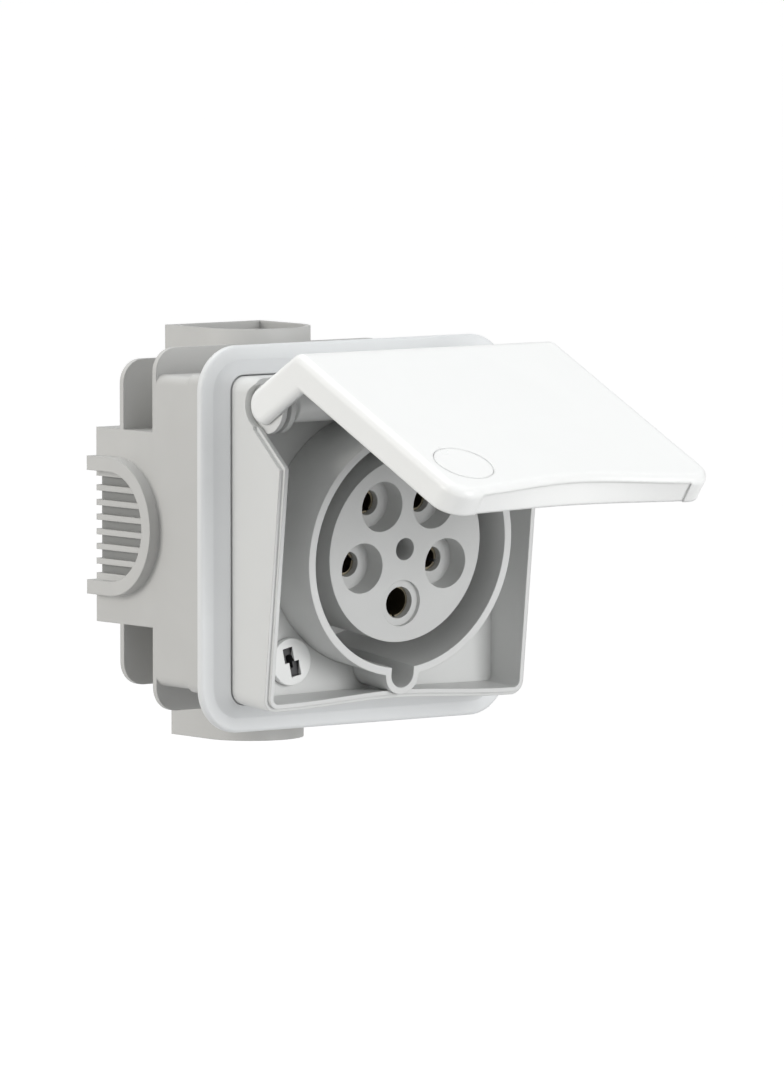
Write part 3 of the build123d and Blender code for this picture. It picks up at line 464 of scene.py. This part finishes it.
def lock_head(node):
    """White head whose faces deep in its slot take a painted shade."""
    piece = dress(node, lock_white)
    low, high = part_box(node)
    middle_x = (low[0] + high[0]) / 2
    middle_z = (low[2] + high[2]) / 2
    piece.data.materials.append(slot_painted_shade)
    for face in piece.data.polygons:
        spot = face.center
        depth = spot.y - low[1]
        off_axis = ((spot.x - middle_x) ** 2 + (spot.z - middle_z) ** 2) ** 0.5
        in_core = off_axis < slot_core_radius
        in_head = depth < head_depth and off_axis < slot_reach
        # Faces deeper than this in the slot take the painted shade.
        if depth > painted_shade_depth and (in_core or in_head):
            face.material_index = 1


lock_head("lock_screw_left")
lock_head("lock_screw_right")

# Hinge: a plated steel pin through the ears and the lid's barrels, with a coil of spring wire
# round its middle that throws the lid shut.
dress("hinge_pin", zinc_steel)
dress("hinge_spring", spring_steel)

# Lid: one white satin moulding with a long face, a short leg to the hinge and a wavy front edge.
# A blank round inlay is pressed into its face, and a rubber ring sits in its hollow.
lid_white = moulded_plastic(
    "lid white plastic",
    printed_colour(244, 245, 244),
    roughness=0.3,
    flow=0.015,
    depth=0.000003,
    edge=0.001,
)
dress("lid", lid_white)
dress("lid_marker", lid_white)
dress("lid_seal", seal_rubber)

# Floor: a wide pale sweep well below the object, which takes a soft shadow. It glows for the
# camera and in mirror images, so that it looks white, and throws back little light.
floor_drop = -0.30
floor_reach = 14
floor_grey = (0.4, 0.4, 0.4, 1)
floor_lift = 0.81
floor_roughness = 0.9
floor_mesh = bpy.data.meshes.new("studio_floor")
floor_mesh.from_pydata(
    [
        (-floor_reach, -floor_reach, floor_drop),
        (floor_reach, -floor_reach, floor_drop),
        (floor_reach, floor_reach, floor_drop),
        (-floor_reach, floor_reach, floor_drop),
    ],
    [],
    [(0, 1, 2, 3)],
)
floor = bpy.data.objects.new("studio_floor", floor_mesh)
bpy.context.scene.collection.objects.link(floor)
paper, paper_nodes, paper_links, paper_shader = new_material("white paper floor")
paper_shader.inputs["Base Color"].default_value = floor_grey
paper_shader.inputs["Roughness"].default_value = floor_roughness
paper_shader.inputs["Emission Color"].default_value = (1, 1, 1, 1)
seen = paper_nodes.new("ShaderNodeLightPath")
straight = paper_nodes.new("ShaderNodeMath")
straight.operation = "MAXIMUM"
paper_links.new(seen.outputs["Is Camera Ray"], straight.inputs[0])
paper_links.new(seen.outputs["Is Glossy Ray"], straight.inputs[1])
lift = paper_nodes.new("ShaderNodeMath")
lift.operation = "MULTIPLY"
lift.inputs[1].default_value = floor_lift
paper_links.new(straight.outputs[0], lift.inputs[0])
paper_links.new(lift.outputs[0], paper_shader.inputs["Emission Strength"])
floor_mesh.materials.append(paper)

# White room: even light from all round, which the camera sees as pure white.
# It is weaker as a light than it looks, so that the panels below can model the shapes.
room_strength = 0.43
room = bpy.data.worlds.new("white room")
room.use_nodes = True
bpy.context.scene.world = room
room_nodes, room_links = room.node_tree.nodes, room.node_tree.links
walls = room_nodes["Background"]
walls.inputs["Color"].default_value = (1, 1, 1, 1)
walls.inputs["Strength"].default_value = room_strength
bright = room_nodes.new("ShaderNodeBackground")
bright.inputs["Color"].default_value = (1, 1, 1, 1)
bright.inputs["Strength"].default_value = 1
looked_at = room_nodes.new("ShaderNodeLightPath")
direct = room_nodes.new("ShaderNodeMath")
direct.operation = "MAXIMUM"
room_links.new(looked_at.outputs["Is Camera Ray"], direct.inputs[0])
room_links.new(looked_at.outputs["Is Transmission Ray"], direct.inputs[1])
choose = room_nodes.new("ShaderNodeMixShader")
room_links.new(direct.outputs[0], choose.inputs[0])
room_links.new(walls.outputs[0], choose.inputs[1])
room_links.new(bright.outputs[0], choose.inputs[2])
room_links.new(choose.outputs[0], room_nodes["World Output"].inputs["Surface"])

# Soft panels: four square softboxes that all aim at the socket, two from above, one from the front
# and a little to the right, and a warmer one from the left and a little behind.
panel_aim = Vector((0, -0.02, 0))
panel_size = 1.0


def soft_panel(name, place, power, tint):
    """Softbox at this place, with its power in watts."""
    lamp = bpy.data.lights.new(name, "AREA")
    lamp.shape = "SQUARE"
    lamp.size = panel_size
    lamp.energy = power
    lamp.color = tint
    panel = bpy.data.objects.new(name, lamp)
    panel.location = place
    panel.rotation_euler = (panel_aim - Vector(place)).to_track_quat("-Z", "Y").to_euler()
    bpy.context.scene.collection.objects.link(panel)


soft_panel("top_panel", (0, 0.6, 1.5), 12, (0.98, 0.99, 1))
soft_panel("front_top_panel", (0, -1.2, 1.25), 5.5, (0.98, 0.99, 1))
soft_panel("front_right_panel", (0.4, -1.95, 0.2), 20, (1, 1, 1))
soft_panel("left_panel", (-1.9, 0.7, 0.4), 20, (1, 0.98, 0.94))

# Camera: a long lens 2.65 m away at the left front, a little above the socket.
# Its place and turn were fitted to the photo.
camera_place = Vector((-1.60466, -2.09853, 0.21781))
camera_right = Vector((0.79207, -0.61042, 0))
camera_ahead = Vector((0.60835, 0.78938, -0.0823))
camera_up = camera_right.cross(camera_ahead)
focal_length = 359.13
film_width = 36
nearest = 0.1
farthest = 60
lens = bpy.data.cameras.new("view_camera")
lens.lens = focal_length
lens.sensor_width = film_width
lens.clip_start = nearest
lens.clip_end = farthest
camera = bpy.data.objects.new("view_camera", lens)
turn = Matrix((camera_right, camera_up, -camera_ahead)).transposed()
camera.matrix_world = Matrix.Translation(camera_place) @ turn.to_4x4()
bpy.context.scene.collection.objects.link(camera)
bpy.context.scene.camera = camera
bpy.context.scene.view_settings.view_transform = "Standard"
